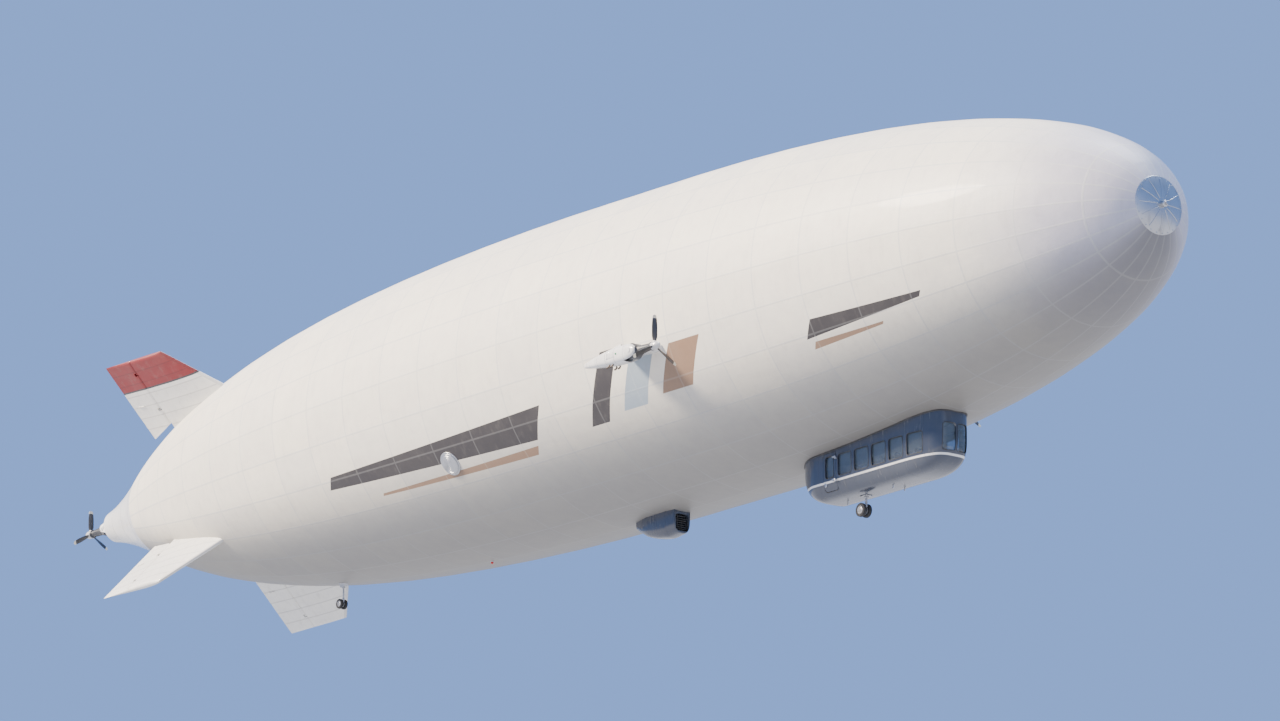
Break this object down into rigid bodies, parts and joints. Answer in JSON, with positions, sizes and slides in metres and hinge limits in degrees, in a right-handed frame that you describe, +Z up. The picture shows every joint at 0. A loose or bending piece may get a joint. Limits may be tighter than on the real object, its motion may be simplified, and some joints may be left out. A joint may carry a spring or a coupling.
{
  "type": "airship, 1:2 scale model",
  "caption": "Half-scale airship: smooth hull, X tail with hinged control surfaces, hollow cabin with door and seats, swivelling propellers and castoring gear.",
  "frame": {"origin": "centre of buoyancy, on the hull's long axis", "axes": "+X forward along the hull's axis, +Y to port, +Z up"},
  "size_m": [37.4803, 9.672, 8.4066],
  "materials": {
    "hull_skin": "satin white laminate",
    "fin_skin": "satin white laminate, red tips on the upper pair",
    "white_panel": "gloss white composite",
    "bare_metal": "satin",
    "dark_metal": "satin dark",
    "propeller": "black composite over wood",
    "cabin_trim": "matt dark grey",
    "glazing": "tinted",
    "seat_cloth": "woven blue grey",
    "steel": "satin",
    "tyre": "matt rubber"
  },
  "bodies": {
    "root": {"envelope": "hull_skin", "nose_cone": "bare_metal", "tail_cone": "white_panel", "stern_engine": "bare_metal", "fin_upper_port": "fin_skin", "fin_lower_port": "fin_skin", "fin_lower_starboard": "fin_skin", "fin_upper_starboard": "fin_skin", "gondola_nose": "white_panel", "gondola_tail": "white_panel", "gondola_roof": "white_panel", "gondola_belly": "white_panel", "gondola_side_port": "white_panel", "gondola_side_starboard": "white_panel", "gondola_floor": "cabin_trim", "windscreen": "glazing", "side_glazing_port": "glazing", "side_glazing_starboard": "glazing", "pilot_seat_port": "seat_cloth", "pilot_seat_starboard": "seat_cloth", "passenger_seats_port": "seat_cloth", "passenger_seats_starboard": "seat_cloth", "instrument_panel": "cabin_trim", "main_gear_leg": "steel", "tail_gear_leg": "steel", "pod_strut_port": "white_panel", "pod_strut_starboard": "white_panel", "pod_cowling_port": "white_panel", "pod_cowling_starboard": "white_panel", "pod_engine_port": "bare_metal", "pod_engine_starboard": "bare_metal", "ballonet_scoop": "white_panel", "helium_valve_port": "bare_metal", "helium_valve_starboard": "bare_metal"},
    "passenger_door": {"passenger_door": "white_panel", "passenger_door_glass": "glazing"},
    "main_caster": {"main_gear_fork": "steel"},
    "main_wheels": {"main_wheels": "tyre"},
    "tail_caster": {"tail_gear_fork": "steel"},
    "tail_wheels": {"tail_wheels": "tyre"},
    "head_port": {"pod_head_port": "dark_metal"},
    "head_starboard": {"pod_head_starboard": "dark_metal"},
    "propeller_port": {"propeller_port": "propeller"},
    "propeller_starboard": {"propeller_starboard": "propeller"},
    "stern_head": {"stern_head": "dark_metal"},
    "stern_propeller": {"stern_propeller": "propeller"},
    "ruddervator_upper_port": {"ruddervator_upper_port": "fin_skin"},
    "ruddervator_lower_port": {"ruddervator_lower_port": "fin_skin"},
    "ruddervator_lower_starboard": {"ruddervator_lower_starboard": "fin_skin"},
    "ruddervator_upper_starboard": {"ruddervator_upper_starboard": "fin_skin"}
  },
  "joints": [
    {"name": "head_port_tilt", "type": "hinge", "parent": "root", "child": "head_port", "pos_m": [4.225, 4.24, -1.4], "axis": [0, -1, 0], "range_deg": [0, 120]},
    {"name": "head_starboard_tilt", "type": "hinge", "parent": "root", "child": "head_starboard", "pos_m": [4.225, -4.24, -1.4], "axis": [0, -1, 0], "range_deg": [0, 120]},
    {"name": "stern_head_tilt", "type": "hinge", "parent": "root", "child": "stern_head", "pos_m": [-19.98, 0, 0], "axis": [0, -1, 0], "range_deg": [0, 90]},
    {"name": "propeller_port_spin", "type": "hinge", "parent": "head_port", "child": "propeller_port", "pos_m": [4.225, 4.24, -1.4], "axis": [1, 0, 0], "continuous": true},
    {"name": "propeller_starboard_spin", "type": "hinge", "parent": "head_starboard", "child": "propeller_starboard", "pos_m": [4.225, -4.24, -1.4], "axis": [1, 0, 0], "continuous": true},
    {"name": "stern_propeller_spin", "type": "hinge", "parent": "stern_head", "child": "stern_propeller", "pos_m": [-19.98, 0, 0], "axis": [1, 0, 0], "continuous": true},
    {"name": "ruddervator_upper_port_turn", "type": "hinge", "parent": "root", "child": "ruddervator_upper_port", "pos_m": [-15.75, 0, 0], "axis": [0, 0.7071, 0.7071], "range_deg": [-25, 25]},
    {"name": "ruddervator_lower_port_turn", "type": "hinge", "parent": "root", "child": "ruddervator_lower_port", "pos_m": [-15.75, 0, 0], "axis": [0, 0.7071, -0.7071], "range_deg": [-25, 25]},
    {"name": "ruddervator_lower_starboard_turn", "type": "hinge", "parent": "root", "child": "ruddervator_lower_starboard", "pos_m": [-15.75, 0, 0], "axis": [0, -0.7071, -0.7071], "range_deg": [-25, 25]},
    {"name": "ruddervator_upper_starboard_turn", "type": "hinge", "parent": "root", "child": "ruddervator_upper_starboard", "pos_m": [-15.75, 0, 0], "axis": [0, -0.7071, 0.7071], "range_deg": [-25, 25]},
    {"name": "passenger_door_swing", "type": "hinge", "parent": "root", "child": "passenger_door", "pos_m": [6.492, -0.604, -3.9], "axis": [0, 0, 1], "range_deg": [0, 100]},
    {"name": "main_caster_swivel", "type": "hinge", "parent": "root", "child": "main_caster", "pos_m": [6.8, 0, -4.6], "axis": [0, 0, 1], "continuous": true},
    {"name": "main_wheels_spin", "type": "hinge", "parent": "main_caster", "child": "main_wheels", "pos_m": [6.72, 0, -4.70665], "axis": [0, 1, 0], "continuous": true},
    {"name": "tail_caster_swivel", "type": "hinge", "parent": "root", "child": "tail_caster", "pos_m": [-11.3, 0, -3.3], "axis": [0, 0, 1], "continuous": true},
    {"name": "tail_wheels_spin", "type": "hinge", "parent": "tail_caster", "child": "tail_wheels", "pos_m": [-11.36, 0, -3.36095], "axis": [0, 1, 0], "continuous": true}
  ]
}
